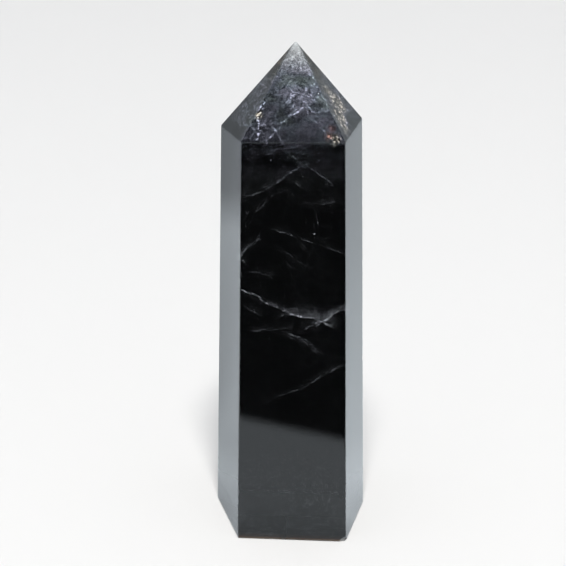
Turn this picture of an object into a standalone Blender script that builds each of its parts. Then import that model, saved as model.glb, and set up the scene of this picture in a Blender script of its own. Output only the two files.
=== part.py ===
"""Morion quartz point: a hand-polished, six-sided tower of nearly black smoky quartz.

Metres, +Z up. The tower stands on Z 0 with its foot centred on the origin, and its widest face looks
toward -Y.
"""

from dataclasses import dataclass

import bmesh
import bpy
from mathutils import Vector, noise

MM = 0.001

# Driving sizes: the foot, the whole height, and the height at which the leaning edges would meet.
FOOT_WIDTH = 28.9 * MM
FOOT_DEPTH = 29.3 * MM
HEIGHT = 95.0 * MM
EDGES_WOULD_MEET = 680.0 * MM

# The point lies a little right of the foot's centre and a little toward the front.
POINT_X = 0.85 * MM
POINT_Y = -0.95 * MM

# The foot's corners: where the front and back faces end, and how far behind the front the sides are widest.
FRONT_ENDS = (-9.1 * MM, 11.5 * MM)
BACK_ENDS = (-9.7 * MM, 9.4 * MM)
SIDE_CORNERS_BEHIND_FRONT = (14.5 * MM, 14.8 * MM)

# The height of the shoulder, where the point's facets begin, at each corner.
SHOULDERS = {
    "front_left": 80.3 * MM,
    "front_right": 80.7 * MM,
    "right": 80.5 * MM,
    "back_right": 79.6 * MM,
    "back_left": 80.1 * MM,
    "left": 78.6 * MM,
}

# Polishing rounds every edge a little, the point's edges least and the foot's edge most.
LONG_EDGE_ROUNDING = 0.22 * MM
SHOULDER_ROUNDING = 0.20 * MM
POINT_EDGE_ROUNDING = 0.13 * MM
FOOT_EDGE_ROUNDING = 0.35 * MM
MOST_ROUNDING = max(LONG_EDGE_ROUNDING, SHOULDER_ROUNDING, POINT_EDGE_ROUNDING, FOOT_EDGE_ROUNDING)
ROUNDING_SEGMENTS = 2


@dataclass(frozen=True)
class Chip:
    """A shell-shaped chip in a corner, or in the edge between two corners."""

    corners: tuple[str, ...]
    shell_radius: float
    bite: float
    along: float = 0.0


CHIPS = {
    "shoulder_chip": Chip(("front_right_top", "front_left_top"), 1.3 * MM, 0.30 * MM, 0.055),
    "front_edge_nick": Chip(("front_left_foot", "front_left_top"), 1.1 * MM, 0.22 * MM, 0.685),
    "foot_corner_chip": Chip(("front_right_foot",), 2.4 * MM, 0.95 * MM),
    "foot_edge_chip": Chip(("left_foot", "front_left_foot"), 1.9 * MM, 0.34 * MM, 0.30),
    "side_edge_nick": Chip(("right_foot", "right_top"), 1.4 * MM, 0.26 * MM, 0.40),
    "back_edge_chip": Chip(("back_left_foot", "back_left_top"), 1.8 * MM, 0.34 * MM, 0.58),
    "back_shoulder_chip": Chip(("back_right_top", "back_left_top"), 1.5 * MM, 0.32 * MM, 0.30),
}
CHIP_UNEVENNESS = 0.07
CHIP_WAVES_PER_RADIUS = 1.7
CHIP_SUBDIVISIONS = 3

# Nearly black, glossy stone.
STONE_COLOUR = (0.012, 0.012, 0.014, 1.0)
STONE_ROUGHNESS = 0.08


def clear_scene() -> None:
    """Remove every object of the startup scene."""
    for item in list(bpy.data.objects):
        bpy.data.objects.remove(item, do_unlink=True)


def foot_outline() -> dict[str, Vector]:
    """Return the foot's six corners, going round from the front left."""
    half = FOOT_WIDTH / 2
    front = -FOOT_DEPTH / 2
    left_depth, right_depth = SIDE_CORNERS_BEHIND_FRONT
    return {
        "front_left": Vector((FRONT_ENDS[0], front, 0.0)),
        "front_right": Vector((FRONT_ENDS[1], front, 0.0)),
        "right": Vector((half, front + right_depth, 0.0)),
        "back_right": Vector((BACK_ENDS[1], -front, 0.0)),
        "back_left": Vector((BACK_ENDS[0], -front, 0.0)),
        "left": Vector((-half, front + left_depth, 0.0)),
    }


def tower_corners() -> dict[str, Vector]:
    """Return every corner of the sharp tower by name: the foot, the shoulder and the point."""
    corners = {"point": Vector((POINT_X, POINT_Y, HEIGHT))}
    meeting_place = Vector((POINT_X, POINT_Y, EDGES_WOULD_MEET))
    for name, foot in foot_outline().items():
        corners[name + "_foot"] = foot
        # Every long edge runs toward one meeting place, which keeps each long face flat.
        corners[name + "_top"] = foot.lerp(meeting_place, SHOULDERS[name] / EDGES_WOULD_MEET)
    return corners


def edge_rounding(names: set[str]) -> float:
    """Return how widely the edge between these two named corners is rounded."""
    if "point" in names:
        return POINT_EDGE_ROUNDING
    if all(name.endswith("_foot") for name in names):
        return FOOT_EDGE_ROUNDING
    if all(name.endswith("_top") for name in names):
        return SHOULDER_ROUNDING
    return LONG_EDGE_ROUNDING


def tower_mesh(corners: dict[str, Vector]) -> bpy.types.Mesh:
    """Make the tower's mesh with sharp edges, each weighted for the rounding that follows."""
    shape = bmesh.new()
    corner = {name: shape.verts.new(place) for name, place in corners.items()}
    ring = list(SHOULDERS)
    shape.faces.new([corner[name + "_foot"] for name in reversed(ring)])
    for here, after in zip(ring, ring[1:] + ring[:1]):
        sides = (here + "_foot", after + "_foot", after + "_top", here + "_top")
        shape.faces.new([corner[name] for name in sides])
        shape.faces.new([corner[here + "_top"], corner[after + "_top"], corner["point"]])
    name_of = {vertex: name for name, vertex in corner.items()}
    weight = shape.edges.layers.float.new("bevel_weight_edge")
    for edge in shape.edges:
        edge[weight] = edge_rounding({name_of[vertex] for vertex in edge.verts}) / MOST_ROUNDING
    mesh = bpy.data.meshes.new("quartz_point")
    shape.to_mesh(mesh)
    shape.free()
    return mesh


def round_edges(tower: bpy.types.Object) -> None:
    """Round the tower's edges by their weights."""
    bevel = tower.modifiers.new("rounded_edges", "BEVEL")
    bevel.limit_method = "WEIGHT"
    bevel.width = MOST_ROUNDING
    bevel.segments = ROUNDING_SEGMENTS


def outward_at(tower: bpy.types.Object, chipped: set[int]) -> Vector:
    """Return the direction that leads out of the sharp tower at a corner or an edge.

    Args:
        tower: The tower, whose own mesh still has sharp edges.
        chipped: The numbers of the one or two corners that the chip is at.

    Returns:
        The middle direction of the faces that meet there.
    """
    meeting = [face.normal for face in tower.data.polygons if chipped <= set(face.vertices)]
    return sum(meeting, Vector()).normalized()


def chip_shell(name: str, chip: Chip, place: Vector) -> bpy.types.Object:
    """Make the hidden, uneven ball that takes one chip out of the tower.

    Args:
        name: The chip's name.
        chip: Its sizes.
        place: The ball's centre, outside the tower, so that only its near side bites.

    Returns:
        The cutter.
    """
    shape = bmesh.new()
    bmesh.ops.create_icosphere(shape, subdivisions=CHIP_SUBDIVISIONS, radius=chip.shell_radius)
    for vertex in shape.verts:
        direction = vertex.co / chip.shell_radius
        swell = noise.noise(direction * CHIP_WAVES_PER_RADIUS + place / MM)
        vertex.co *= 1.0 + CHIP_UNEVENNESS * swell
    mesh = bpy.data.meshes.new(name)
    shape.to_mesh(mesh)
    shape.free()
    cutter = bpy.data.objects.new(name, mesh)
    cutter.location = place
    cutter.display_type = "WIRE"
    cutter.hide_render = True
    bpy.context.scene.collection.objects.link(cutter)
    return cutter


def chip_edges(tower: bpy.types.Object, corners: dict[str, Vector]) -> None:
    """Cut every chip out of the rounded tower."""
    numbers = {name: number for number, name in enumerate(corners)}
    for name, chip in CHIPS.items():
        on_stone = corners[chip.corners[0]].lerp(corners[chip.corners[-1]], chip.along)
        outward = outward_at(tower, {numbers[corner] for corner in chip.corners})
        cut = tower.modifiers.new(name, "BOOLEAN")
        cut.operation = "DIFFERENCE"
        cut.solver = "EXACT"
        cut.object = chip_shell(name, chip, on_stone + outward * (chip.shell_radius - chip.bite))


def stone_material() -> bpy.types.Material:
    """Return the plain dark stone finish."""
    material = bpy.data.materials.new("morion")
    material.use_nodes = True
    shader = material.node_tree.nodes["Principled BSDF"]
    shader.inputs["Base Color"].default_value = STONE_COLOUR
    shader.inputs["Roughness"].default_value = STONE_ROUGHNESS
    shader.inputs["Metallic"].default_value = 0.0
    return material


def main() -> None:
    """Model the quartz point."""
    clear_scene()
    corners = tower_corners()
    tower = bpy.data.objects.new("quartz_point", tower_mesh(corners))
    bpy.context.scene.collection.objects.link(tower)
    tower.data.materials.append(stone_material())
    round_edges(tower)
    chip_edges(tower, corners)


main()
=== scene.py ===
"""The looks of the morion quartz point: a polished six-sided tower of nearly black smoky quartz.

The stone is one closed mesh of see-through smoky quartz, in which cloud, healed fractures and flakes
show by a second, cloudy shader. It stands on a plain pale floor in soft light.
"""

import logging
import math
import random
from dataclasses import dataclass, field
from enum import Enum
from typing import Any, Union

import bmesh
import bpy
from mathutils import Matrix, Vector, noise


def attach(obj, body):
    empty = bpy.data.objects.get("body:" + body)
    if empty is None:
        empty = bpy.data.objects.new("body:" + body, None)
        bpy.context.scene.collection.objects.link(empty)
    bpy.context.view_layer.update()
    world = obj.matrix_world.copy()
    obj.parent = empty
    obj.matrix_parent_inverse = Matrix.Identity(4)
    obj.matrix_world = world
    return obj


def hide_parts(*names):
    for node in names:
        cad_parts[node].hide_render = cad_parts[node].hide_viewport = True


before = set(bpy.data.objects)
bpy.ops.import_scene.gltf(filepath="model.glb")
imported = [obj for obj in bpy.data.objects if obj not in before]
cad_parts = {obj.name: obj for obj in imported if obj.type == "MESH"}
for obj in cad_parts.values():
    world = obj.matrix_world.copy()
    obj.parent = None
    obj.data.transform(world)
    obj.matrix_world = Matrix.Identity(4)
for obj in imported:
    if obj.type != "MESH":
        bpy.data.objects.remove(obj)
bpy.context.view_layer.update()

MM = 0.001
# A Mix node's sockets when it mixes colours: the factor and the two colours.
MIX_SOCKETS = (0, 6, 7)

Colour = tuple[float, float, float]
Span = tuple[float, float]
Stops = tuple[tuple[float, float], ...]
Number = Union[float, "Wire"]
log = logging.getLogger("quartz_point")


class Wire:
    """The output of a shader node, whose numbers can be used in Python expressions."""

    def __init__(self, graph: "Graph", socket: bpy.types.NodeSocket) -> None:
        """Wrap a socket of this graph."""
        self.graph = graph
        self.socket = socket

    def math(self, operation: str, *numbers: Number) -> "Wire":
        """Return the output of a Math node.

        Args:
            operation: The node's operation.
            numbers: Its inputs, in order.

        Returns:
            The result, as a new wire.
        """
        return self.graph.node("ShaderNodeMath", {"operation": operation}, dict(enumerate(numbers)))

    def __add__(self, other: Number) -> "Wire":
        """Add."""
        return self.math("ADD", self, other)

    def __radd__(self, other: Number) -> "Wire":
        """Add to a number on the left."""
        return self.math("ADD", other, self)

    def __sub__(self, other: Number) -> "Wire":
        """Subtract."""
        return self.math("SUBTRACT", self, other)

    def __rsub__(self, other: Number) -> "Wire":
        """Subtract from a number on the left."""
        return self.math("SUBTRACT", other, self)

    def __mul__(self, other: Number) -> "Wire":
        """Multiply."""
        return self.math("MULTIPLY", self, other)

    def __rmul__(self, other: Number) -> "Wire":
        """Multiply a number on the left."""
        return self.math("MULTIPLY", other, self)

    def __truediv__(self, other: Number) -> "Wire":
        """Divide."""
        return self.math("DIVIDE", self, other)

    def __pow__(self, other: Number) -> "Wire":
        """Raise to a power."""
        return self.math("POWER", self, other)

    def __abs__(self) -> "Wire":
        """Drop the sign."""
        return self.math("ABSOLUTE", self)

    def at_most(self, other: Number) -> "Wire":
        """Return the smaller of the two."""
        return self.math("MINIMUM", self, other)

    def at_least(self, other: Number) -> "Wire":
        """Return the larger of the two."""
        return self.math("MAXIMUM", self, other)

    def rise(self, low: Number, high: Number) -> "Wire":
        """Return 0 below low, 1 above high, and a smooth step between."""
        return self._step(low, high, 0.0, 1.0)

    def fall(self, low: Number, high: Number) -> "Wire":
        """Return 1 below low, 0 above high, and a smooth step between."""
        return self._step(low, high, 1.0, 0.0)

    def _step(self, low: Number, high: Number, below: float, above: float) -> "Wire":
        """Make a smooth step from one number to another.

        Args:
            low: Where the step begins.
            high: Where it ends.
            below: The number below low.
            above: The number above high.

        Returns:
            The step.
        """
        settings = {"interpolation_type": "SMOOTHSTEP", "clamp": True}
        inputs = {"Value": self, "From Min": low, "From Max": high, "To Min": below, "To Max": above}
        return self.graph.node("ShaderNodeMapRange", settings, inputs)

    def parts(self) -> tuple["Wire", "Wire", "Wire"]:
        """Return a vector's X, Y and Z."""
        x = self.graph.node("ShaderNodeSeparateXYZ", inputs={0: self})
        y, z = (Wire(self.graph, socket) for socket in x.socket.node.outputs[1:])
        return x, y, z


class Graph:
    """The shader nodes of a material, a world or a node group."""

    def __init__(self, tree: bpy.types.NodeTree) -> None:
        """Start an empty graph in this tree."""
        self.tree = tree
        self.tree.nodes.clear()

    @classmethod
    def of(cls, owner: bpy.types.ID) -> "Graph":
        """Return an empty graph for a material or a world."""
        owner.use_nodes = True
        return cls(owner.node_tree)

    @classmethod
    def group(cls, name: str, inputs: dict[str, str], output: str) -> tuple["Graph", dict[str, Wire]]:
        """Return an empty node group's graph and its inputs.

        Args:
            name: The group's name.
            inputs: The kind of socket for each input's name.
            output: The name of the one number that it gives.

        Returns:
            The graph, and each input as a wire.
        """
        tree = bpy.data.node_groups.new(name, "ShaderNodeTree")
        for label, kind in inputs.items():
            tree.interface.new_socket(label, in_out="INPUT", socket_type=kind)
        tree.interface.new_socket(output, in_out="OUTPUT", socket_type="NodeSocketFloat")
        graph = cls(tree)
        first = graph.node("NodeGroupInput", output=0)
        return graph, {label: Wire(graph, first.socket.node.outputs[label]) for label in inputs}

    def node(
        self,
        kind: str,
        settings: dict[str, Any] | None = None,
        inputs: dict[str | int, Any] | None = None,
        output: str | int = 0,
    ) -> Wire:
        """Add one node.

        Args:
            kind: The node's type.
            settings: The node's own settings, and "stops" for a ramp's (position, colour) pairs.
            inputs: What goes into its sockets: wires or plain values.
            output: The socket to return.

        Returns:
            The chosen output.
        """
        made = self.tree.nodes.new(kind)
        for name, value in (settings or {}).items():
            if name == "stops":
                self._set_stops(made.color_ramp, value)
            else:
                setattr(made, name, value)
        for name, value in (inputs or {}).items():
            socket = made.inputs[name]
            if isinstance(value, Wire):
                self.tree.links.new(value.socket, socket)
            elif socket.type == "RGBA" and len(value) == 3:
                socket.default_value = (*value, 1.0)
            else:
                socket.default_value = value
        if isinstance(output, str):
            return Wire(self, made.outputs[output])
        shown = [socket for socket in made.outputs if socket.enabled]
        return Wire(self, shown[output] if shown else None)

    @staticmethod
    def _set_stops(ramp: bpy.types.ColorRamp, stops: list[tuple[float, Colour]]) -> None:
        """Give a colour ramp its stops.

        Args:
            ramp: The ramp.
            stops: The (position, colour) pairs.
        """
        while len(ramp.elements) > 1:
            ramp.elements.remove(ramp.elements[-1])
        for number, (position, colour) in enumerate(stops):
            element = ramp.elements[0] if number == 0 else ramp.elements.new(position)
            element.position = position
            element.color = (*colour, 1.0)

    def place_in_mm(self) -> Wire:
        """Return the place on the surface, in millimetres in the part's own frame."""
        place = self.node("ShaderNodeTexCoord", output="Object")
        return self.scaled(place, 1.0 / MM)

    def scaled(self, vector: Wire, factor: float) -> Wire:
        """Return a vector times a number."""
        return self.node("ShaderNodeVectorMath", {"operation": "SCALE"}, {"Vector": vector, "Scale": factor})

    def vector(self, operation: str, first: Any, second: Any) -> Wire:
        """Return a Vector Math node's vector."""
        return self.node("ShaderNodeVectorMath", {"operation": operation}, {0: first, 1: second})

    def dot(self, vector: Wire, direction: Vector | Wire) -> Wire:
        """Return how far a vector reaches along a direction."""
        return self.node(
            "ShaderNodeVectorMath", {"operation": "DOT_PRODUCT"}, {0: vector, 1: direction}, "Value"
        )

    def distance(self, vector: Wire, place: Vector) -> Wire:
        """Return the distance from a place."""
        return self.node(
            "ShaderNodeVectorMath", {"operation": "DISTANCE"}, {0: vector, 1: place}, "Value"
        )

    def noise(
        self, place: Wire, length: float, detail: float = 3.0, rough: float = 0.5, output: str = "Fac"
    ) -> Wire:
        """Return soft noise.

        Args:
            place: Where on the stone, in millimetres.
            length: The size of its blotches, in millimetres.
            detail: How many finer layers it has.
            rough: How strong the finer layers are.
            output: "Fac" for one number, or "Color" for three.

        Returns:
            The noise, from about 0.2 to 0.8 round 0.5.
        """
        inputs = {"Vector": place, "Scale": 1.0 / length, "Detail": detail, "Roughness": rough}
        return self.node("ShaderNodeTexNoise", {"noise_dimensions": "3D"}, inputs, output)

    def cells(self, place: Wire, length: float, feature: str, output: str) -> Wire:
        """Return one output of a Voronoi pattern with cells this many millimetres across."""
        settings = {"voronoi_dimensions": "3D", "feature": feature}
        return self.node("ShaderNodeTexVoronoi", settings, {"Vector": place, "Scale": 1.0 / length}, output)

    def curve(self, along: Wire, stops: Stops) -> Wire:
        """Return a number that changes evenly from stop to stop.

        Args:
            along: What it changes along.
            stops: The (position, number) stops.

        Returns:
            The number.
        """
        low, high = stops[0][0], stops[-1][0]
        shades = [((position - low) / (high - low), (number, number, number)) for position, number in stops]
        return self.node("ShaderNodeValToRGB", {"stops": shades}, {"Fac": (along - low) / (high - low)})

    def blend(self, factor: Number, first: Any, second: Any) -> Wire:
        """Return a colour between two, by a factor."""
        inputs = dict(zip(MIX_SOCKETS, (factor, first, second)))
        return self.node("ShaderNodeMix", {"data_type": "RGBA"}, inputs)


class Face(Enum):
    """A face of the tower, by the two foot corners that it stands between, and whether it is at the tip."""

    FRONT = ("front_left", "front_right", False)
    FRONT_RIGHT = ("front_right", "right", False)
    BACK_RIGHT = ("right", "back_right", False)
    BACK = ("back_right", "back_left", False)
    BACK_LEFT = ("back_left", "left", False)
    FRONT_LEFT = ("left", "front_left", False)
    TIP_FRONT = ("front_left", "front_right", True)
    TIP_FRONT_RIGHT = ("front_right", "right", True)
    TIP_BACK_RIGHT = ("right", "back_right", True)
    TIP_BACK = ("back_right", "back_left", True)
    TIP_BACK_LEFT = ("back_left", "left", True)
    TIP_FRONT_LEFT = ("left", "front_left", True)


@dataclass(frozen=True)
class TowerCut:
    """The sharp shape that the stone was cut to, in millimetres, with the wide front face toward -Y."""

    foot_width: float = 28.9
    foot_depth: float = 29.3
    height: float = 95.0
    edges_would_meet: float = 680.0
    point_x: float = 0.85
    point_y: float = -0.95
    front_ends: tuple[float, float] = (-9.1, 11.5)
    back_ends: tuple[float, float] = (-9.7, 9.4)
    side_corners_behind_front: tuple[float, float] = (14.5, 14.8)
    shoulders: tuple[tuple[str, float], ...] = (
        ("front_left", 80.3),
        ("front_right", 80.7),
        ("right", 80.5),
        ("back_right", 79.6),
        ("back_left", 80.1),
        ("left", 78.6),
    )

    def corners(self) -> dict[str, Vector]:
        """Work out every sharp corner: the foot, the shoulder and the point.

        Returns:
            The corners by name.
        """
        half, front = self.foot_width / 2, -self.foot_depth / 2
        left_depth, right_depth = self.side_corners_behind_front
        foot = {
            "front_left": (self.front_ends[0], front),
            "front_right": (self.front_ends[1], front),
            "right": (half, front + right_depth),
            "back_right": (self.back_ends[1], -front),
            "back_left": (self.back_ends[0], -front),
            "left": (-half, front + left_depth),
        }
        meeting_place = Vector((self.point_x, self.point_y, self.edges_would_meet))
        corners = {"point": Vector((self.point_x, self.point_y, self.height))}
        for name, shoulder in self.shoulders:
            start = Vector((*foot[name], 0.0))
            corners[name + "_foot"] = start
            corners[name + "_top"] = start.lerp(meeting_place, shoulder / self.edges_would_meet)
        return corners

    def plane(self, face: Face) -> tuple[Vector, Vector, Vector]:
        """Return where a face lies.

        Args:
            face: The face.

        Returns:
            Its lower left corner, its direction to the right and its outward normal.
        """
        left, right, at_tip = face.value
        corners = self.corners()
        level = "_top" if at_tip else "_foot"
        start, end = corners[left + level], corners[right + level]
        above = corners["point"] if at_tip else corners[left + "_top"]
        across = (end - start).normalized()
        return start, across, across.cross(above - start).normalized()

    def on_face(self, face: Face, level: float, height: float) -> Vector:
        """Return a place on a face.

        Args:
            face: The face.
            level: The place's X on a front or back face, and its Y on any other face.
            height: Its height above the floor.

        Returns:
            The place.
        """
        start, _, normal = self.plane(face)
        if abs(normal.y) > abs(normal.x):
            place = Vector((level, 0.0, height))
            place.y = start.y - ((place.x - start.x) * normal.x + (height - start.z) * normal.z) / normal.y
        else:
            place = Vector((0.0, level, height))
            place.x = start.x - ((place.y - start.y) * normal.y + (height - start.z) * normal.z) / normal.x
        return place


class Texture(Enum):
    """What a veil or a patch is like close up."""

    WISPS = "soft wisps"
    GRIT = "sparkling grit"


# For each texture, what breaks up a line and what breaks up a cloud.
Grain = dict[Texture, tuple[Wire, Wire]]


@dataclass(frozen=True)
class Veil:
    """A healed fracture: a thin, bowed, cloudy sheet that cuts a face in a line. Millimetres and degrees."""

    face: Face
    start: tuple[float, float]
    end: tuple[float, float]
    strength: float
    bow: float = 0.0
    tilt: float = 30.0
    width: float = 0.15
    glow: float = 0.22
    glow_width: float = 1.2
    fade: float = 0.7
    reach: float = 6.0
    texture: Texture = Texture.WISPS

    @staticmethod
    def recipe() -> bpy.types.NodeTree:
        """Make the node group that works out one sheet's brightness from its sizes and directions.

        Returns:
            The group.
        """
        core, full_depth = 0.15, 0.5
        vectors = ("Place", "Along", "Square", "Outward")
        offsets = ("Along From", "Square From", "Outward From")
        sizes = ("Half", "Bend", "Side", "Width", "Glow", "Glow Width", "Fade", "Reach")
        sockets = {name: "NodeSocketVector" for name in vectors}
        sockets |= {name: "NodeSocketFloat" for name in (*offsets, *sizes, "Breaks", "Wisps")}
        graph, given = Graph.group("veil", sockets, "Brightness")
        run = graph.dot(given["Place"], given["Along"]) - given["Along From"]
        depth = abs(graph.dot(given["Place"], given["Outward"]) - given["Outward From"])
        straight = graph.dot(given["Place"], given["Square"]) - given["Square From"]
        above = (run * run * given["Bend"] + straight) * given["Side"]
        half, fade, reach, width = given["Half"], given["Fade"], given["Reach"], given["Width"]
        within = abs(run).fall(half - fade, half + fade) * depth.fall(reach * full_depth, reach)
        line = abs(above).fall(width * core, width) * given["Breaks"]
        beside = above.rise(width * -1.0, width) * above.fall(0.0, given["Glow Width"])
        graph.node("NodeGroupOutput", inputs={0: (line + beside * given["Glow"] * given["Wisps"]) * within})
        return graph.tree

    def brightness(self, recipe: bpy.types.NodeTree, cut: TowerCut, strayed: Wire, grain: Grain) -> Wire:
        """Return how brightly the sheet shows at a place.

        Args:
            recipe: The node group for one sheet.
            cut: The tower that it lies in.
            strayed: The place, moved about a little so that the sheet is uneven.
            grain: For each texture, what breaks up the line and what breaks up the glow beside it.

        Returns:
            The brightness of the line and of the glow on its upper or lower side.
        """
        start, end = cut.on_face(self.face, *self.start), cut.on_face(self.face, *self.end)
        outward = cut.plane(self.face)[2]
        along = (end - start).normalized()
        upward = outward.cross(along).normalized()
        upward = upward if upward.z > 0.0 else -upward
        lean = math.radians(self.tilt)
        square = (upward * math.cos(lean) - outward * math.sin(lean)).normalized()
        middle, half = (start + end) / 2, (end - start).length / 2
        breaks, wisps = grain[self.texture]
        inputs = {
            "Place": strayed,
            "Along": along,
            "Along From": middle.dot(along),
            "Square": square,
            "Square From": middle.dot(square) + self.bow,
            "Outward": outward,
            "Outward From": middle.dot(outward),
            "Half": half,
            "Bend": self.bow / half**2,
            "Side": math.copysign(1.0, self.glow_width),
            "Width": self.width,
            "Glow": self.glow,
            "Glow Width": abs(self.glow_width),
            "Fade": self.fade,
            "Reach": self.reach,
            "Breaks": breaks,
            "Wisps": wisps,
        }
        return strayed.graph.node("ShaderNodeGroup", {"node_tree": recipe}, inputs) * self.strength


@dataclass(frozen=True)
class Speck:
    """A bright flake just under a face, in millimetres."""

    face: Face
    level: float
    height: float
    radius: float = 0.17
    strength: float = 0.25


@dataclass(frozen=True)
class Patch:
    """A clouded region with soft edges and a colour of its own, in millimetres."""

    face: Face
    level: float
    height: float
    radius: float
    strength: float
    tint: Colour
    texture: Texture = Texture.WISPS


@dataclass(frozen=True)
class Spot:
    """A point of the stone as its material sees it: where it is, and the noise that many things share."""

    graph: Graph
    cut: TowerCut
    place: Wire
    strayed: Wire
    height: Wire
    mottle: Wire
    sparkle: Wire

    def behind(self, face: Face) -> Wire:
        """Return how far the point lies behind a face."""
        start, _, outward = self.cut.plane(face)
        return start.dot(outward) - self.graph.dot(self.place, outward)

    def on(self, face: Face, reach: float) -> Wire:
        """Return 1 on a face and 0 farther from it than this reach."""
        return abs(self.behind(face)).fall(reach * 0.3, reach)


@dataclass(frozen=True)
class Morion:
    """The smoky quartz: how it bends and dims light, and what clouds it. Millimetres."""

    bend: float = 1.544
    polish: float = 0.06
    smear: float = 0.04
    left_per_metre: Colour = (0.50, 0.36, 0.16)
    dimming_per_metre: float = 4000.0
    most_haze: float = 0.97

    grey_cloud: Colour = (0.56, 0.585, 0.62)
    blue_cloud: Colour = (0.49, 0.565, 0.70)
    violet_cloud: Colour = (0.53, 0.55, 0.71)
    teal_cloud: Colour = (0.48, 0.57, 0.62)
    frosted_cloud: Colour = (0.66, 0.69, 0.71)
    brown_cloud: Colour = (0.42, 0.33, 0.22)
    colour_drift_length: float = 3.4
    coloured_heights: Span = (70.0, 82.0)
    frosted_heights: Span = (89.0, 94.0)
    brown_heights: Span = (86.5, 92.0)
    brown_depths: Span = (0.3, 1.6)

    wide_wander: float = 0.9
    wide_wander_length: float = 5.0
    fine_wander: float = 0.36
    fine_wander_length: float = 1.1
    broad_length: float = 2.3
    billow_length: float = 2.6
    mottle_length: float = 0.62
    sparkle_length: float = 0.36

    upper_body_heights: Span = (66.0, 80.0)
    upper_body_haze: float = 0.016
    body_haze: float = 0.002
    least_haze: float = 0.001
    dust_heights: Span = (14.0, 26.0)
    dust_haze: float = 0.024
    front_facet_reach: float = 0.55
    frost_by_height: Stops = (
        (80.0, 0.012),
        (82.0, 0.032),
        (83.6, 0.052),
        (84.8, 0.050),
        (86.0, 0.100),
        (87.2, 0.190),
        (88.6, 0.180),
        (89.6, 0.140),
        (90.8, 0.240),
        (92.2, 0.300),
        (93.7, 0.500),
        (95.0, 0.780),
    )
    side_facet_heights: Span = (79.6, 84.0)
    side_facet_haze: float = 0.08
    side_end_heights: Span = (91.0, 95.0)
    side_end_haze: float = 0.10
    calm_heights: Span = (90.5, 94.5)
    most_calm: float = 0.5
    left_face_reach: float = 0.12
    left_face_haze: float = 0.12
    left_face_from_edge: Span = (-15.0, 1.0)

    wide_crackle: float = 6.0
    wide_crackle_line: Span = (0.004, 0.035)
    wide_crackle_patches: float = 6.0
    fine_crackle: float = 2.3
    fine_crackle_line: Span = (0.012, 0.070)
    fine_crackle_patches: float = 4.0
    crackle_in_body: float = 0.012
    crackle_higher_up: float = 0.010
    crackle_at_point: float = 0.20

    flake_spacing: float = 1.0
    flake_size: Span = (0.04, 0.17)
    flake_chance: Span = (0.78, 0.99)
    flakes_at_point: float = 0.30
    flakes_higher_up: float = 0.03
    flakes_at_foot: float = 0.16
    flakes_anywhere: float = 0.04

    drawn_length: float = 0.35
    drawn_out: float = 0.06
    relief_strength: float = 0.05
    relief_depth: float = 0.05

    def material(
        self, cut: TowerCut, veils: list[Veil], specks: list[Speck], patches: list[Patch]
    ) -> bpy.types.Material:
        """Make the stone's material.

        Args:
            cut: The tower that the veils, specks and patches lie in.
            veils: The healed fractures.
            specks: The bright flakes.
            patches: The clouded regions.

        Returns:
            A mix of see-through smoky quartz and cloud.
        """
        made = bpy.data.materials.new("morion_quartz")
        graph = Graph.of(made)
        at = self._spot(graph, cut)
        grain = self._grain(at)
        haze, tint = self._haze(at, grain, veils, specks), self._tint(at)
        for patch in patches:
            near = self._nearness(at, patch)
            haze = near * grain[patch.texture][1] * patch.strength + haze
            tint = graph.blend(near, tint, patch.tint)
        haze = haze.at_most(self.most_haze)
        shared = {"Roughness": self._roughness(at, haze), "IOR": self.bend, "Normal": self._relief(at)}
        white = {"Base Color": (1.0, 1.0, 1.0), "Transmission Weight": 1.0}
        clear = graph.node("ShaderNodeBsdfPrincipled", inputs=white | shared)
        cloudy = graph.node("ShaderNodeBsdfPrincipled", inputs={"Base Color": tint} | shared)
        surface = graph.node("ShaderNodeMixShader", inputs={0: haze, 1: clear, 2: cloudy})
        dimming = {"Color": self.left_per_metre, "Density": self.dimming_per_metre}
        inside = graph.node("ShaderNodeVolumeAbsorption", inputs=dimming)
        graph.node("ShaderNodeOutputMaterial", inputs={"Surface": surface, "Volume": inside})
        return made

    def _spot(self, graph: Graph, cut: TowerCut) -> Spot:
        """Work out what the parts of the material share.

        Args:
            graph: The material's nodes.
            cut: The tower that the point is on.

        Returns:
            The point's place and its shared noise.
        """
        place = graph.place_in_mm()
        strayed, height = self._strayed(graph, place), place.parts()[2]
        mottle = graph.noise(place, self.mottle_length, 3.0, 0.6)
        sparkle = graph.noise(place, self.sparkle_length, 2.0, 0.6).rise(0.46, 0.62)
        return Spot(graph, cut, place, strayed, height, mottle, sparkle)

    def _strayed(self, graph: Graph, place: Wire) -> Wire:
        """Move the place about by noise, so that flat sheets wander.

        Args:
            graph: The material's nodes.
            place: The true place.

        Returns:
            The moved place.
        """
        wide = graph.noise(place, self.wide_wander_length, 1.0, 0.5, "Color")
        fine = graph.noise(place, self.fine_wander_length, 3.0, 0.7, "Color")
        for noisy, wander in ((wide, self.wide_wander), (fine, self.fine_wander)):
            shift = graph.vector("SUBTRACT", noisy, Vector((0.5, 0.5, 0.5)))
            place = graph.vector("ADD", place, graph.scaled(shift, 2.0 * wander))
        return place

    def _grain(self, at: Spot) -> Grain:
        """Work out the two textures.

        Args:
            at: The point of the stone.

        Returns:
            What breaks up a line and a cloud in each.
        """
        broad, mottle = at.graph.noise(at.place, self.broad_length, 2.0), at.mottle
        uneven = (broad.rise(0.36, 0.60) * 0.8 + 0.2) * (mottle.rise(0.36, 0.60) + 0.2)
        breaks = uneven * (at.sparkle * 1.3 + 0.55)
        billowy = mottle.rise(0.36, 0.66) * 0.8 + broad.rise(0.30, 0.70) * 0.35
        wisps = billowy * (at.sparkle * 1.2 + 0.45)
        grit = at.sparkle * mottle.rise(0.36, 0.60)
        return {Texture.WISPS: (breaks, wisps), Texture.GRIT: (at.sparkle, grit)}

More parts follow.
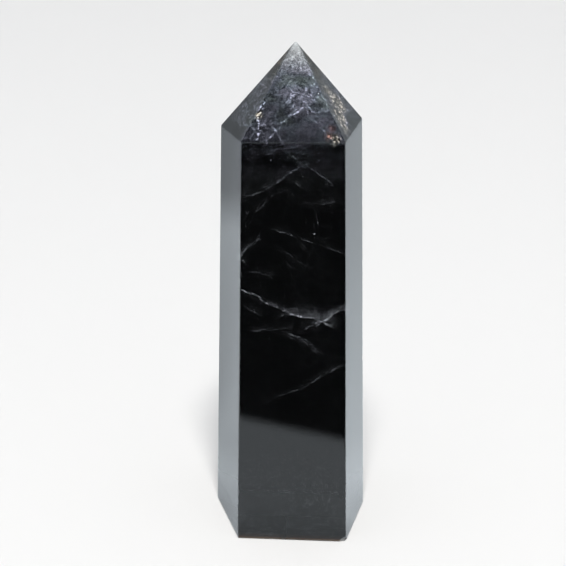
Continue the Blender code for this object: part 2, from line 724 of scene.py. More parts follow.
    def _haze(self, at: Spot, grain: Grain, veils: list[Veil], specks: list[Speck]) -> Wire:
        """Add up all that clouds the stone, apart from the patches.

        Args:
            at: The point of the stone.
            grain: The textures.
            veils: The healed fractures.
            specks: The bright flakes.

        Returns:
            The cloud's share, which can pass 1.
        """
        recipe = Veil.recipe()
        haze: Number = 0.0
        for veil in veils:
            haze = veil.brightness(recipe, at.cut, at.strayed, grain) + haze
        return haze + self._cloud(at) + self._network(at) + self._flakes(at, specks)

    def _cloud(self, at: Spot) -> Wire:
        """Work out the haze: faint in the body, mottled at the point, and thick near the point's very end.

        Args:
            at: The point of the stone.

        Returns:
            The haze's share.
        """
        graph, height, mottle = at.graph, at.height, at.mottle
        billows = graph.noise(at.place, self.billow_length, 4.0, 0.62).rise(0.36, 0.68)
        dust = height.fall(*self.dust_heights) * mottle.rise(0.50, 0.62) * self.dust_haze
        upper = height.rise(*self.upper_body_heights) * self.upper_body_haze
        body = billows * (upper + self.body_haze) + dust + self.least_haze
        frost = graph.curve(height, self.frost_by_height)
        front = at.on(Face.TIP_FRONT, self.front_facet_reach)
        spotted = mottle.rise(0.44, 0.62) * 1.5 + 0.25
        facets = height.rise(*self.side_facet_heights) * self.side_facet_haze * spotted
        sides = facets + height.rise(*self.side_end_heights) * self.side_end_haze
        to_right = graph.dot(at.place, Vector((1.0, 0.0, 0.0))).rise(-3.0, 7.0) * 0.6 + 0.85
        amount = front * frost * to_right + (1.0 - front) * sides
        uneven = (mottle.rise(0.26, 0.74) * 0.9 + billows * 0.6 + 0.1) * (at.sparkle * 0.9 + 0.6)
        calm = height.rise(*self.calm_heights) * self.most_calm
        toward_edge = graph.dot(at.place, Vector((0.0, 1.0, 0.0))).fall(*self.left_face_from_edge)
        blotches = mottle.rise(0.3, 0.7) * self.left_face_haze
        beside_edge = at.on(Face.FRONT_LEFT, self.left_face_reach) * toward_edge * blotches
        return body + beside_edge + amount * (uneven * (1.0 - calm) + calm)

    def _network(self, at: Spot) -> Wire:
        """Work out the fine crackle between the named veils.

        Args:
            at: The point of the stone.

        Returns:
            The crackle's share.
        """
        graph, height = at.graph, at.height
        wide_cells = graph.cells(at.strayed, self.wide_crackle, "DISTANCE_TO_EDGE", "Distance")
        fine_cells = graph.cells(at.strayed, self.fine_crackle, "DISTANCE_TO_EDGE", "Distance")
        here = graph.noise(at.place, self.wide_crackle_patches, 2.0).rise(0.44, 0.60)
        moved = graph.vector("ADD", at.place, Vector((40.0, 0.0, 0.0)))
        there = graph.noise(moved, self.fine_crackle_patches, 2.0).rise(0.46, 0.62)
        wide_lines = wide_cells.fall(*self.wide_crackle_line) * here
        lines = wide_lines + fine_cells.fall(*self.fine_crackle_line) * there * 0.7
        in_body = height.rise(24.0, 50.0) * self.crackle_in_body
        higher_up = height.rise(62.0, 80.0) * self.crackle_higher_up
        strength = in_body + higher_up + height.rise(79.5, 83.0) * self.crackle_at_point
        return lines * at.mottle.rise(0.34, 0.62) * strength

    def _flakes(self, at: Spot, specks: list[Speck]) -> Wire:
        """Work out the named specks and the many fine flakes elsewhere.

        Args:
            at: The point of the stone.
            specks: The named ones.

        Returns:
            Their share.
        """
        graph, height = at.graph, at.height
        nearest = graph.cells(at.place, self.flake_spacing, "F1", "Distance")
        chance = graph.cells(at.place, self.flake_spacing, "F1", "Color").parts()[0]
        at_point = height.rise(79.0, 84.0) * self.flakes_at_point
        higher_up = height.rise(40.0, 80.0) * self.flakes_higher_up
        at_foot = height.fall(18.0, 28.0) * self.flakes_at_foot
        amount = at_point + higher_up + at_foot + self.flakes_anywhere
        total = nearest.fall(*self.flake_size) * chance.rise(*self.flake_chance) * amount
        for speck in specks:
            away = graph.distance(at.place, at.cut.on_face(speck.face, speck.level, speck.height))
            total = away.fall(speck.radius * 0.3, speck.radius) * speck.strength + total
        return total

    def _nearness(self, at: Spot, patch: Patch) -> Wire:
        """Work out how near the middle of a patch the point is.

        Args:
            at: The point of the stone.
            patch: The patch.

        Returns:
            1 in the middle, falling to 0 over an uneven edge.
        """
        away = at.graph.distance(at.place, at.cut.on_face(patch.face, patch.level, patch.height))
        billows = at.graph.noise(at.place, patch.radius * 0.6, 3.0, 0.6)
        uneven = away + (billows - 0.5) * (patch.radius * 1.4)
        return uneven.fall(patch.radius * 0.2, patch.radius)

    def _tint(self, at: Spot) -> Wire:
        """Work out the cloud's colour: grey in the body, drifting blue, violet and teal at the point.

        Args:
            at: The point of the stone.

        Returns:
            The colour.
        """
        graph, height = at.graph, at.height
        drift = graph.noise(at.place, self.colour_drift_length, 2.0)
        violet = graph.blend(drift.rise(0.44, 0.60), self.blue_cloud, self.violet_cloud)
        cool = graph.blend(drift.fall(0.34, 0.46), violet, self.teal_cloud)
        drifting = graph.blend(height.rise(*self.coloured_heights) * 0.7 + 0.3, self.grey_cloud, cool)
        end = graph.blend(height.rise(*self.frosted_heights), drifting, self.frosted_cloud)
        brown = at.behind(Face.TIP_FRONT).rise(*self.brown_depths) * height.rise(*self.brown_heights)
        return graph.blend(brown, end, self.brown_cloud)

    def _roughness(self, at: Spot, haze: Wire) -> Wire:
        """Work out the roughness: a fine polish with faint smears.

        Args:
            at: The point of the stone.
            haze: The cloud's share.

        Returns:
            The roughness.
        """
        upright = at.graph.vector("MULTIPLY", at.place, Vector((1.0, 1.0, 0.22)))
        smears = at.graph.noise(upright, 1.4, 3.0, 0.6)
        return smears * self.smear + (self.polish - self.smear / 2) + haze * 0.08

    def _relief(self, at: Spot) -> Wire:
        """Work out the surface's normal, with polishing lines and fine pits.

        Args:
            at: The point of the stone.

        Returns:
            The normal.
        """
        upright = at.graph.vector("MULTIPLY", at.place, Vector((1.0, 1.0, self.drawn_out)))
        height = at.graph.noise(upright, self.drawn_length, 2.0, 0.5) + at.mottle * 0.5
        sizes = {"Strength": self.relief_strength, "Distance": self.relief_depth * MM}
        return at.graph.node("ShaderNodeBump", inputs=sizes | {"Height": height})


@dataclass(frozen=True)
class Chip:
    """A shell-shaped chip in a corner, or in the edge between two corners. Millimetres."""

    corners: tuple[str, ...]
    shell_radius: float
    bite: float
    along: float = 0.0


class Part(Enum):
    """The part of the tower that a small face of its mesh belongs to."""

    LONG_FACE = 0
    POINT_FACET = 1
    FOOT = 2


@dataclass
class QuartzPoint:
    """The whole stone: a finely divided, slightly uneven tower with worn edges and chips. Millimetres."""

    cut: TowerCut = field(default_factory=TowerCut)
    finish: Morion = field(default_factory=Morion)
    cells_across: int = 24
    cells_up: int = 84
    long_edge_rounding: float = 0.22
    shoulder_rounding: float = 0.20
    point_edge_rounding: float = 0.13
    foot_edge_rounding: float = 0.35
    rounding_steps: int = 4
    wear: float = 0.35
    wear_length: float = 2.5
    wave_height: float = 0.012
    wave_length: float = 14.0
    chip_divisions: int = 4
    nick_divisions: int = 2
    nick_count: int = 36
    nick_radius: Span = (0.35, 0.8)
    nick_bite: Span = (0.10, 0.20)
    nick_along: Span = (0.06, 0.94)
    shell_swell: float = 0.07
    shell_ripple: float = 0.006
    flat_angle: float = 8.0
    smooth_angle: float = 26.0
    seed: int = 7

    def build(
        self, veils: list[Veil], specks: list[Speck], patches: list[Patch], chips: dict[str, Chip]
    ) -> bpy.types.Object:
        """Make the stone and put it in place of its plain solid.

        Args:
            veils: The healed fractures.
            specks: The bright flakes.
            patches: The clouded regions.
            chips: The chips.

        Returns:
            The finished piece.
        """
        stone = bpy.data.objects.new("polished_quartz_point", self._sharp_mesh())
        bpy.context.scene.collection.objects.link(stone)
        self._round_edges(stone)
        self._break_edges(stone, chips)
        self._shade(stone)
        stone.data.materials.clear()
        stone.data.materials.append(self.finish.material(self.cut, veils, specks, patches))
        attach(stone, "root")
        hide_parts("quartz_point")
        return stone

    def _corner_names(self) -> list[str]:
        """Return the six corners' names, going round."""
        return [name for name, _ in self.cut.shoulders]

    def _sides(self) -> list[tuple[str, str]]:
        """Return each long face's two corner names, going round."""
        names = self._corner_names()
        return list(zip(names, names[1:] + names[:1]))

    def _sharp_mesh(self) -> bpy.types.Mesh:
        """Make the sharp tower, every face divided finely and waved slightly, edges weighted for rounding.

        Returns:
            The mesh.
        """
        corners, names, speck = self.cut.corners(), self._corner_names(), 1e-7
        middle = sum((corners[name + "_foot"] for name in names), Vector()) / len(names)
        shape = bmesh.new()
        parts = shape.faces.layers.int.new("part")
        for here, after in self._sides():
            foot = (corners[here + "_foot"], corners[after + "_foot"])
            top = (corners[here + "_top"], corners[after + "_top"])
            self._add_long_face(shape, parts, foot, top)
            self._add_three_sided(shape, parts, Part.POINT_FACET, (*top, corners["point"]))
            self._add_three_sided(shape, parts, Part.FOOT, (foot[1], foot[0], middle))
        bmesh.ops.remove_doubles(shape, verts=shape.verts, dist=speck)
        self._weigh_edges(shape, parts)
        noise.seed_set(self.seed)
        for vertex in shape.verts:
            on_floor = vertex.co.z < speck
            vertex.co += noise.noise_vector(vertex.co / (self.wave_length * MM)) * self.wave_height * MM
            vertex.co.z = 0.0 if on_floor else vertex.co.z
        mesh = bpy.data.meshes.new("polished_quartz_point")
        shape.to_mesh(mesh)
        shape.free()
        return mesh

    def _add_long_face(
        self, shape: bmesh.types.BMesh, parts: Any, foot: tuple[Vector, Vector], top: tuple[Vector, Vector]
    ) -> None:
        """Add one long face as a grid.

        Args:
            shape: The mesh under construction.
            parts: The layer that says which part a face belongs to.
            foot: The face's two corners at the foot.
            top: Its two corners at the shoulder.
        """
        rows = []
        for up in range(self.cells_up + 1):
            share = up / self.cells_up
            left, right = foot[0].lerp(top[0], share), foot[1].lerp(top[1], share)
            row = [left.lerp(right, over / self.cells_across) * MM for over in range(self.cells_across + 1)]
            rows.append([shape.verts.new(place) for place in row])
        for low, high in zip(rows, rows[1:]):
            for number in range(self.cells_across):
                face = shape.faces.new((low[number], low[number + 1], high[number + 1], high[number]))
                face[parts] = Part.LONG_FACE.value

    def _add_three_sided(
        self, shape: bmesh.types.BMesh, parts: Any, part: Part, corners: tuple[Vector, Vector, Vector]
    ) -> None:
        """Add one three-sided face, divided into small triangles.

        Args:
            shape: The mesh under construction.
            parts: The layer that says which part a face belongs to.
            part: The part that this one belongs to.
            corners: Its left, right and top corners.
        """
        left, right, top = corners
        rows = []
        for up in range(self.cells_across + 1):
            share, steps = up / self.cells_across, self.cells_across - up
            start, end = left.lerp(top, share), right.lerp(top, share)
            row = [start.lerp(end, over / steps) if steps else top for over in range(steps + 1)]
            rows.append([shape.verts.new(place * MM) for place in row])
        for low, high in zip(rows, rows[1:]):
            for over in range(len(low) - 1):
                shape.faces.new((low[over], low[over + 1], high[over]))[parts] = part.value
            for over in range(len(high) - 1):
                shape.faces.new((low[over + 1], high[over + 1], high[over]))[parts] = part.value

    def _weigh_edges(self, shape: bmesh.types.BMesh, parts: Any) -> None:
        """Say how widely each sharp edge is rounded, with some uneven wear along it.

        Args:
            shape: The mesh under construction.
            parts: The layer that says which part a face belongs to.
        """
        weight = shape.edges.layers.float.new("bevel_weight_edge")
        shape.normal_update()
        for edge in shape.edges:
            if edge.calc_face_angle(0.0) < math.radians(self.flat_angle):
                continue
            numbers = sorted(face[parts] for face in edge.link_faces)
            middle = (edge.verts[0].co + edge.verts[1].co) / 2 / MM
            uneven = 1.0 + self.wear * noise.noise(middle / self.wear_length)
            rounding = self._roundings()[Part(numbers[0]), Part(numbers[1])]
            edge[weight] = rounding * uneven / self._widest_rounding()

    def _roundings(self) -> dict[tuple[Part, Part], float]:
        """Return how widely the edge between each two parts is rounded."""
        return {
            (Part.LONG_FACE, Part.LONG_FACE): self.long_edge_rounding,
            (Part.LONG_FACE, Part.POINT_FACET): self.shoulder_rounding,
            (Part.POINT_FACET, Part.POINT_FACET): self.point_edge_rounding,
            (Part.LONG_FACE, Part.FOOT): self.foot_edge_rounding,
        }

    def _widest_rounding(self) -> float:
        """Return the most that any edge can be rounded."""
        return max(self._roundings().values()) * (1.0 + self.wear)

    def _round_edges(self, stone: bpy.types.Object) -> None:
        """Round the weighted edges.

        Args:
            stone: The sharp stone.
        """
        bevel = stone.modifiers.new("worn_edges", "BEVEL")
        bevel.limit_method = "WEIGHT"
        bevel.width = self._widest_rounding() * MM
        bevel.segments = self.rounding_steps
        self._bake_modifiers(stone)

    @staticmethod
    def _bake_modifiers(stone: bpy.types.Object) -> None:
        """Make what the modifiers show the stone's own mesh.

        Args:
            stone: The stone.
        """
        seen = stone.evaluated_get(bpy.context.evaluated_depsgraph_get())
        mesh = bpy.data.meshes.new_from_object(seen)
        stone.modifiers.clear()
        stone.data = mesh

    def _nicks(self) -> list[Chip]:
        """Spread small nicks over the edges.

        Returns:
            The nicks.
        """
        dice = random.Random(self.seed)
        edges = [(name + "_foot", name + "_top") for name in self._corner_names()]
        edges += [(here + "_top", after + "_top") for here, after in self._sides()]
        edges += [(here + "_foot", after + "_foot") for here, after in self._sides()]
        nicks = []
        for number in range(self.nick_count):
            sizes = [dice.uniform(*span) for span in (self.nick_radius, self.nick_bite, self.nick_along)]
            nicks.append(Chip(edges[number % len(edges)], *sizes))
        return nicks

    def _break_edges(self, stone: bpy.types.Object, chips: dict[str, Chip]) -> None:
        """Cut the chips and the nicks out of the edges.

        Args:
            stone: The rounded stone.
            chips: The chips.
        """
        corners = self.cut.corners()
        shells = bmesh.new()
        for chip in chips.values():
            self._add_shell(shells, corners, chip, self.chip_divisions)
        for nick in self._nicks():
            self._add_shell(shells, corners, nick, self.nick_divisions)
        mesh = bpy.data.meshes.new("chip_shells")
        shells.to_mesh(mesh)
        shells.free()
        cutter = bpy.data.objects.new("chip_shells", mesh)
        bpy.context.scene.collection.objects.link(cutter)
        breaks = stone.modifiers.new("chips", "BOOLEAN")
        breaks.operation = "DIFFERENCE"
        breaks.solver = "EXACT"
        breaks.use_self = True
        breaks.object = cutter
        self._bake_modifiers(stone)
        bpy.data.objects.remove(cutter, do_unlink=True)

    def _add_shell(
        self, shells: bmesh.types.BMesh, corners: dict[str, Vector], chip: Chip, divisions: int
    ) -> None:
        """Add the uneven ball that bites one chip out.

        Args:
            shells: The mesh that gathers the balls.
            corners: The sharp tower's corners.
            chip: The chip.
            divisions: How finely the ball is divided.
        """
        swell_waves, ripples, struck = 1.7, 22.0, Vector((0.6, 0.2, 0.5))
        on_stone = corners[chip.corners[0]].lerp(corners[chip.corners[-1]], chip.along)
        centre = on_stone + self._outward(chip.corners) * (chip.shell_radius - chip.bite)
        made = bmesh.ops.create_icosphere(shells, subdivisions=divisions, radius=chip.shell_radius)
        for vertex in made["verts"]:
            direction = vertex.co / chip.shell_radius
            swell = self.shell_swell * noise.noise(direction * swell_waves + centre)
            ripple = self.shell_ripple * math.sin(ripples * (direction - struck).length)
            vertex.co = (centre + vertex.co * (1.0 + swell + ripple)) * MM

    def _outward(self, chipped: tuple[str, ...]) -> Vector:
        """Find the way out of the tower at a corner or an edge.

        Args:
            chipped: The corner, or the edge's two corners.

        Returns:
            The middle direction of the faces that meet there.
        """
        total = Vector()
        for face in Face:
            left, right, at_tip = face.value
            around = {left + "_top", right + "_top"}
            around |= {"point"} if at_tip else {left + "_foot", right + "_foot"}
            if set(chipped) <= around:
                total += self.cut.plane(face)[2]
        if all(name.endswith("_foot") for name in chipped):
            total += Vector((0.0, 0.0, -1.0))
        return total.normalized()

    def _shade(self, stone: bpy.types.Object) -> None:
        """Shade the rounded edges smooth and keep the faces flat.

        Args:
            stone: The stone.
        """
        stone.data.shade_smooth()
        stone.data.set_sharp_from_angle(angle=math.radians(self.smooth_angle))
        flat = stone.modifiers.new("flat_faces", "WEIGHTED_NORMAL")
        flat.mode = "FACE_AREA"
        flat.weight = 50
        flat.keep_sharp = True
        self._bake_modifiers(stone)


@dataclass
class Studio:
    """A plain pale floor in soft light, and a glowing painted reflection of the room, which only the stone's
    polish shows. Millimetres.
    """

    floor_colour: Colour = (0.80, 0.80, 0.80)
    floor_radius: float = 620.0
    cove_radius: float = 300.0
    wall_top: float = 420.0
    steps_round: int = 96
    steps_up: int = 16
    sky: Colour = (0.86, 0.96, 1.12)
    sky_strength: float = 0.20
    soft_light_watts: float = 33.2
    soft_light_colour: Colour = (1.0, 0.982, 0.952)
    soft_light_size: float = 400.0
    soft_light_place: tuple[float, float, float] = (72.0, -708.0, 1662.0)
    # The painted reflection's colour, then its painted light by distance from the stone's middle on the
    # left, the right and in front: painted shade at the stone's foot, brighter further out, dimmer far away.
    painted_reflection_colour: Colour = (0.92, 1.0, 1.06)
    painted_reflection_on_left: Stops = (
        (0.0, 0.70),
        (12.0, 0.75),
        (15.6, 0.86),
        (19.0, 1.15),
        (26.0, 1.12),
        (33.0, 0.99),
        (91.0, 1.42),
        (146.0, 1.78),
        (175.0, 0.90),
        (900.0, 0.60),
    )
    painted_reflection_on_right: Stops = (
        (0.0, 0.95),
        (14.0, 1.05),
        (20.0, 1.40),
        (27.0, 1.36),
        (35.0, 1.25),
        (91.0, 1.09),
        (143.0, 0.95),
        (180.0, 0.90),
        (900.0, 0.66),
    )
    painted_reflection_in_front: Stops = ((0.0, 0.80), (18.0, 0.86), (30.0, 1.10), (60.0, 1.18), (900.0, 0.66))
    # Painted shadow of the stone on the floor behind it, on the left.
    shadow_behind: float = 0.45
    # Painted light on the walls: dimmer on the left, brighter toward the right and front.
    left_wall: float = 0.37
    right_wall: float = 0.66
    wall_begins: Span = (300.0, 800.0)
    # The dark front end of the painted reflection.
    dark_from: float = 60.5
    dark_to: float = 420.0
    dark_slant: float = 0.40
    dark_soft_edge: float = 3.0
    dark_far_edge: float = 120.0
    dark_sides: Span = (150.0, 260.0)
    dark_light: float = 0.035

    def build(self) -> None:
        """Make all of it, and show light as it is."""
        self._room("pale_floor", mirrored=False)
        # A glowing surface seen only in the stone's polish: a painted reflection of a lit floor and walls.
        self._room("painted_reflection_room", mirrored=True)
        self._soft_light()
        self._sky()
        bpy.context.scene.view_settings.view_transform = "Standard"

    def _profile(self) -> list[tuple[float, float]]:
        """Draw the floor from its middle outward, and the wall that it turns up into.

        Returns:
            Pairs of a distance out and a height.
        """
        profile = [(0.0, 0.0), (self.floor_radius * 0.5, 0.0), (self.floor_radius, 0.0)]
        for step in range(1, self.steps_up + 1):
            turn = math.pi / 2 * step / self.steps_up
            out = self.floor_radius + self.cove_radius * math.sin(turn)
            profile.append((out, self.cove_radius * (1.0 - math.cos(turn))))
        return profile + [(self.floor_radius + self.cove_radius, self.wall_top)]

    def _room(self, name: str, mirrored: bool) -> bpy.types.Object:
        """Make a round floor that turns up into a low wall all the way round.

        Args:
            name: The object's name.
            mirrored: Whether it is the glowing painted reflection, shown only in polished surfaces, or the
                plain floor, shown only directly.

        Returns:
            The floor and wall.
        """
        shape = bmesh.new()
        outline = [shape.verts.new((out * MM, 0.0, up * MM)) for out, up in self._profile()]
        for low, high in zip(outline, outline[1:]):
            shape.edges.new((low, high))
        bmesh.ops.spin(
            shape,
            geom=shape.verts[:] + shape.edges[:],
            cent=(0.0, 0.0, 0.0),
            axis=(0.0, 0.0, 1.0),
            angle=math.tau,
            steps=self.steps_round,
            use_merge=True,
        )
        bmesh.ops.remove_doubles(shape, verts=shape.verts, dist=1e-6)
        bmesh.ops.recalc_face_normals(shape, faces=shape.faces)
        mesh = bpy.data.meshes.new(name)
        shape.to_mesh(mesh)
        shape.free()
        mesh.shade_smooth()
        mesh.materials.append(self._painted_reflection_paint() if mirrored else self._floor_paint())
        room = bpy.data.objects.new(name, mesh)
        bpy.context.scene.collection.objects.link(room)
        room.visible_glossy = mirrored
        if mirrored:
            for ray in ("camera", "diffuse", "transmission", "volume_scatter", "shadow"):
                setattr(room, "visible_" + ray, False)
        return room

    def _floor_paint(self) -> bpy.types.Material:
        """Mix the floor's plain matt paint.

        Returns:
            The paint.
        """
        paint = bpy.data.materials.new("pale_floor")
        graph = Graph.of(paint)
        matt = graph.node("ShaderNodeBsdfDiffuse", inputs={"Color": self.floor_colour})
        graph.node("ShaderNodeOutputMaterial", inputs={"Surface": matt})
        return paint

    def _painted_reflection_paint(self) -> bpy.types.Material:
        """Paint the reflection that the polish shows, as glow: a floor with painted light round the stone,
        painted shade at its foot, a painted shadow behind it, walls with painted light and a dark front end.

        Returns:
            The glowing paint of the painted reflection.
        """
        paint = bpy.data.materials.new("painted_reflection_room")
        graph = Graph.of(paint)
        x, y, _ = graph.place_in_mm().parts()
        out = (x * x + y * y) ** 0.5
        rightward, backward = x / out.at_least(1.0), y / out.at_least(1.0)
        # Painted shadow of the stone, behind it on the left side only.
        behind = backward.rise(0.55, 0.80) * self.shadow_behind
        # Painted light by distance from the stone, with painted shade at its foot.
        on_left = graph.curve(out, self.painted_reflection_on_left) * (1.0 - behind)
        on_right = graph.curve(out, self.painted_reflection_on_right)
        is_right = rightward.rise(-0.3, 0.3)
        sides = on_left * (1.0 - is_right) + on_right * is_right
        is_front = backward.fall(-0.7, -0.3)
        floor = sides * (1.0 - is_front) + graph.curve(out, self.painted_reflection_in_front) * is_front
        # Painted light on the walls, brighter toward the right and front.
        right_front = (rightward * 0.6 - backward * 0.8).rise(-1.0, 0.2)
        wall = right_front * (self.right_wall - self.left_wall) + self.left_wall
        is_wall = out.rise(*self.wall_begins)
        pale = floor * (1.0 - is_wall) + wall * is_wall
        level = self._with_dark_end(pale, x, y)
        red, green, blue = self.painted_reflection_colour
        light = graph.node("ShaderNodeCombineXYZ", inputs={"X": red, "Y": green, "Z": blue})
        # Painted reflection: the room's light and shade glow here, though it is no lamp.
        glow = graph.node("ShaderNodeEmission", inputs={"Color": graph.scaled(light, level)})
        graph.node("ShaderNodeOutputMaterial", inputs={"Surface": glow})
        return paint

    def _with_dark_end(self, pale: Wire, x: Wire, y: Wire) -> Wire:
        """Paint the dark end of the room into the painted reflection, in front of the stone.

        Args:
            pale: The painted reflection's brightness without it.
            x: How far to the right the place is.
            y: How far behind the stone's middle it is.

        Returns:
            The painted reflection's brightness.
        """
        beyond = x * self.dark_slant - y - self.dark_from
        near_edge = beyond.rise(-self.dark_soft_edge, self.dark_soft_edge)
        far_edge = beyond.fall(self.dark_to - self.dark_far_edge, self.dark_to)
        dark = near_edge * far_edge * abs(x).fall(*self.dark_sides)
        return pale * (1.0 - dark) + dark * self.dark_light

    def _soft_light(self) -> None:
        """Hang one soft light high in front of the stone, where the polish doesn't mirror it."""
        light = bpy.data.lights.new("soft_light", "AREA")
        light.shape = "DISK"
        light.size = self.soft_light_size * MM
        light.energy = self.soft_light_watts
        light.color = self.soft_light_colour
        lamp = bpy.data.objects.new("soft_light", light)
        lamp.location = Vector(self.soft_light_place) * MM
        lamp.rotation_euler = (-lamp.location).to_track_quat("-Z", "Y").to_euler()
        lamp.visible_glossy = lamp.visible_transmission = False
        lamp.visible_camera = False
        bpy.context.scene.collection.objects.link(lamp)

    def _sky(self) -> None:
        """Fill the room with even, slightly cool light."""
        world = bpy.data.worlds.new("soft_room")
        bpy.context.scene.world = world
        graph = Graph.of(world)
        glow = graph.node("ShaderNodeBackground", inputs={"Color": self.sky, "Strength": self.sky_strength})
        graph.node("ShaderNodeOutputWorld", inputs={"Surface": glow})


@dataclass(frozen=True)
class Viewpoint:
    """Where the photograph was taken from. Degrees, and millimetres for places."""

    azimuth: float = 3.76
    elevation: float = 25.04
    distance: float = 350.0
    aim: tuple[float, float, float] = (-1.44, 0.0, 47.39)
    lens: float = 118.64
    film_width: float = 36.0
    nothing_nearer: float = 0.01

    def place_camera(self) -> None:
        """Make the scene's camera."""
        around, above = math.radians(self.azimuth), math.radians(self.elevation)
        back = Vector(
            (math.sin(around) * math.cos(above), -math.cos(around) * math.cos(above), math.sin(above))
        )
        data = bpy.data.cameras.new("camera")
        data.lens = self.lens
        data.sensor_width = self.film_width
        data.clip_start = self.nothing_nearer
        camera = bpy.data.objects.new("camera", data)
        camera.location = (Vector(self.aim) + back * self.distance) * MM
        camera.rotation_euler = (-back).to_track_quat("-Z", "Y").to_euler()
        bpy.context.scene.collection.objects.link(camera)
        bpy.context.scene.camera = camera


def stone_veils() -> list[Veil]:
    """Return the stone's healed fractures, face by face."""
    front, tip, grit = Face.FRONT, Face.TIP_FRONT, Texture.GRIT
    left, tip_left, tip_right = Face.FRONT_LEFT, Face.TIP_FRONT_LEFT, Face.TIP_FRONT_RIGHT
    return [
        Veil(front, (-3.3, 78.3), (2.4, 80.1), 0.10, bow=0.1),
        Veil(front, (0.1, 79.5), (4.2, 76.3), 0.11, bow=-0.5, glow_width=-1.0),
        Veil(front, (3.8, 76.5), (8.2, 72.8), 0.11, bow=0.3),
        Veil(front, (-7.7, 70.4), (-3.0, 72.3), 0.07, bow=-0.4, width=0.2),
        Veil(front, (-3.2, 72.1), (4.1, 76.7), 0.09, bow=0.1, width=0.2),
        Veil(front, (1.3, 73.1), (4.0, 71.4), 0.07, width=0.12),
        Veil(front, (5.9, 68.9), (8.4, 69.6), 0.09, width=0.12, fade=0.4),
        Veil(front, (-7.3, 66.9), (-2.6, 70.1), 0.06, bow=-0.3),
        Veil(front, (-3.0, 64.3), (10.8, 59.0), 0.06, bow=0.3),
        Veil(front, (-1.7, 61.0), (4.6, 56.9), 0.045, bow=-0.4, glow_width=-1.4),
        Veil(front, (-8.4, 58.3), (-5.0, 61.8), 0.12, bow=0.2, width=0.25),
        Veil(front, (-6.1, 55.9), (-2.2, 54.4), 0.07, bow=0.1),
        Veil(front, (-8.5, 52.3), (-3.2, 49.8), 0.60, bow=0.15, width=0.08, glow=0.05, glow_width=-1.0),
        Veil(front, (-3.6, 50.0), (1.6, 47.4), 0.22, bow=-0.2, glow=0.5, glow_width=1.0),
        Veil(front, (1.2, 47.4), (8.2, 45.4), 0.34, bow=0.3, glow=0.35, glow_width=2.4, fade=1.4),
        Veil(front, (-7.6, 49.3), (-4.4, 47.3), 0.07),
        Veil(front, (5.6, 45.3), (10.9, 48.8), 0.30, bow=0.1, width=0.18, glow=0.4, glow_width=1.3),
        Veil(front, (-6.0, 44.0), (1.2, 45.5), 0.08, bow=-0.3),
        Veil(front, (-1.6, 46.3), (0.3, 48.0), 0.07),
        Veil(front, (3.4, 44.7), (6.4, 46.4), 0.14),
        Veil(front, (0.2, 44.0), (6.3, 40.5), 0.12, bow=0.4, glow=0.4, glow_width=-1.2),
        Veil(front, (-4.4, 29.7), (3.4, 33.0), 0.05, bow=-0.2),
        Veil(front, (3.0, 32.8), (11.0, 37.8), 0.07, bow=0.2),
        Veil(tip, (-2.0, 82.0), (1.2, 84.6), 0.36, bow=0.15, width=0.2, fade=0.4),
        Veil(tip, (0.9, 84.3), (3.3, 85.7), 0.36, bow=0.1, width=0.22, fade=0.4),
        Veil(tip, (3.1, 85.7), (4.3, 84.8), 0.33, width=0.22, fade=0.3),
        Veil(tip, (4.0, 84.9), (6.9, 85.2), 0.33, bow=-0.1, width=0.24, fade=0.4),
        Veil(tip, (-0.7, 85.6), (0.6, 87.2), 0.30, width=0.2, fade=0.4),
        Veil(tip, (0.4, 87.0), (1.9, 87.8), 0.36, width=0.26, fade=0.4),
        Veil(tip, (1.5, 86.9), (3.3, 85.5), 0.26, width=0.16, fade=0.4),
        Veil(tip, (5.4, 88.0), (6.9, 85.7), 0.26, width=0.24, fade=0.4),
        Veil(tip, (-4.1, 83.5), (-2.0, 82.2), 0.26, bow=0.1, width=0.22, fade=0.4),
        Veil(tip, (-2.0, 82.3), (-3.4, 80.5), 0.23, width=0.16, fade=0.4),
        Veil(tip, (-1.7, 81.8), (-0.4, 80.4), 0.23, width=0.16, fade=0.4),
        Veil(tip, (3.9, 84.6), (6.6, 81.8), 0.13, bow=0.3, width=0.2),
        Veil(tip, (-4.3, 86.3), (-5.4, 83.4), 0.85, width=0.42, fade=0.4, texture=grit),
        Veil(tip, (-5.3, 83.6), (-4.9, 80.8), 0.75, bow=0.2, width=0.34, fade=0.4, texture=grit),
        Veil(tip, (2.6, 88.6), (4.6, 86.2), 0.16, width=0.6, texture=grit),
        Veil(tip_left, (-8.4, 86.2), (-12.6, 80.6), 0.20, width=0.5, texture=grit),
        Veil(tip_left, (-3.5, 84.2), (-6.8, 82.0), 0.10, bow=0.2),
        Veil(tip_right, (-3.4, 88.0), (-6.6, 82.0), 0.12, bow=0.3, width=0.6, glow_width=-1.6),
        Veil(tip_right, (-2.4, 84.8), (-8.6, 81.6), 0.10, bow=-0.3, width=0.5),
        Veil(left, (-12.8, 66.0), (-4.0, 72.0), 0.05, bow=0.5),
        Veil(left, (-14.0, 58.0), (-3.0, 62.5), 0.07, bow=-0.6, width=0.3, glow_width=2.4),
    ]


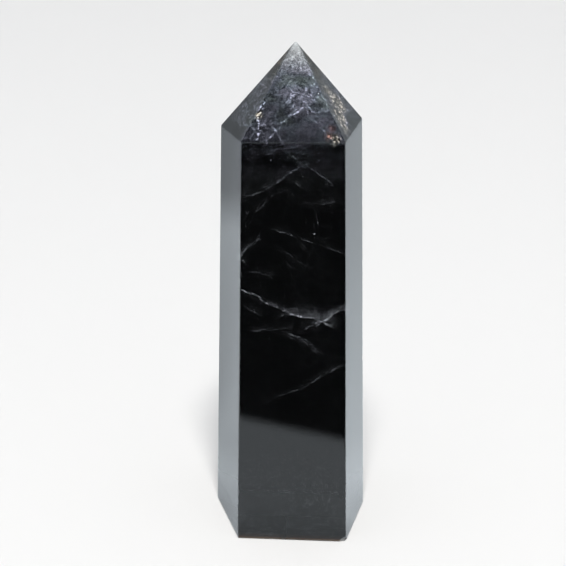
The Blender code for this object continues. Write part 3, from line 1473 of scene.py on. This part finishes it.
def stone_specks() -> list[Speck]:
    """Return the bright flakes that show on the front face."""
    front = Face.FRONT
    return [
        Speck(front, -2.7, 77.1, 0.22, 0.16),
        Speck(front, 5.7, 78.6, 0.14, 0.30),
        Speck(front, 5.7, 77.3, 0.12, 0.18),
        Speck(front, 2.9, 74.2, 0.13, 0.30),
        Speck(front, 5.6, 65.6, 0.14, 0.30),
        Speck(front, 5.0, 63.4, 0.20, 0.45),
        Speck(front, -4.8, 62.8, 0.14, 0.14),
        Speck(front, -7.0, 79.6, 0.16, 0.10),
    ]


def stone_patches() -> list[Patch]:
    """Return the clouded regions, each with its colour."""
    tip, tip_right, grit = Face.TIP_FRONT, Face.TIP_FRONT_RIGHT, Texture.GRIT
    beige, pink, cream = (0.60, 0.56, 0.50), (0.70, 0.42, 0.36), (0.80, 0.74, 0.62)
    return [
        Patch(tip_right, -4.3, 87.0, 2.6, 0.30, beige),
        Patch(tip_right, -4.0, 84.8, 3.2, 0.50, beige),
        Patch(tip_right, -7.4, 83.6, 3.2, 0.44, beige),
        Patch(tip_right, -9.0, 82.0, 2.4, 0.30, beige),
        Patch(tip, 7.9, 82.6, 1.1, 0.12, (0.50, 0.33, 0.36)),
        Patch(tip, 8.5, 81.1, 1.3, 0.70, cream, grit),
        Patch(tip, 7.3, 81.5, 1.0, 0.45, pink, grit),
        Patch(tip, -5.0, 84.2, 1.2, 0.35, cream, grit),
        Patch(tip, 2.1, 89.3, 1.5, 0.04, (0.42, 0.52, 0.53)),
    ]


def stone_chips() -> dict[str, Chip]:
    """Return the chips, which the plain solid has too."""
    return {
        "shoulder_chip": Chip(("front_right_top", "front_left_top"), 1.3, 0.30, 0.055),
        "front_edge_nick": Chip(("front_left_foot", "front_left_top"), 1.1, 0.22, 0.685),
        "foot_corner_chip": Chip(("front_right_foot",), 2.4, 0.95),
        "foot_edge_chip": Chip(("left_foot", "front_left_foot"), 1.9, 0.34, 0.30),
        "side_edge_nick": Chip(("right_foot", "right_top"), 1.4, 0.26, 0.40),
        "back_edge_chip": Chip(("back_left_foot", "back_left_top"), 1.8, 0.34, 0.58),
        "back_shoulder_chip": Chip(("back_right_top", "back_left_top"), 1.5, 0.32, 0.30),
    }


def main() -> None:
    """Build the scene."""
    logging.basicConfig(level=logging.INFO, format="%(name)s: %(message)s")
    Viewpoint().place_camera()
    Studio().build()
    stone = QuartzPoint().build(stone_veils(), stone_specks(), stone_patches(), stone_chips())
    log.info("%s: %d faces", stone.name, len(stone.data.polygons))


if __name__ == "__main__":
    main()
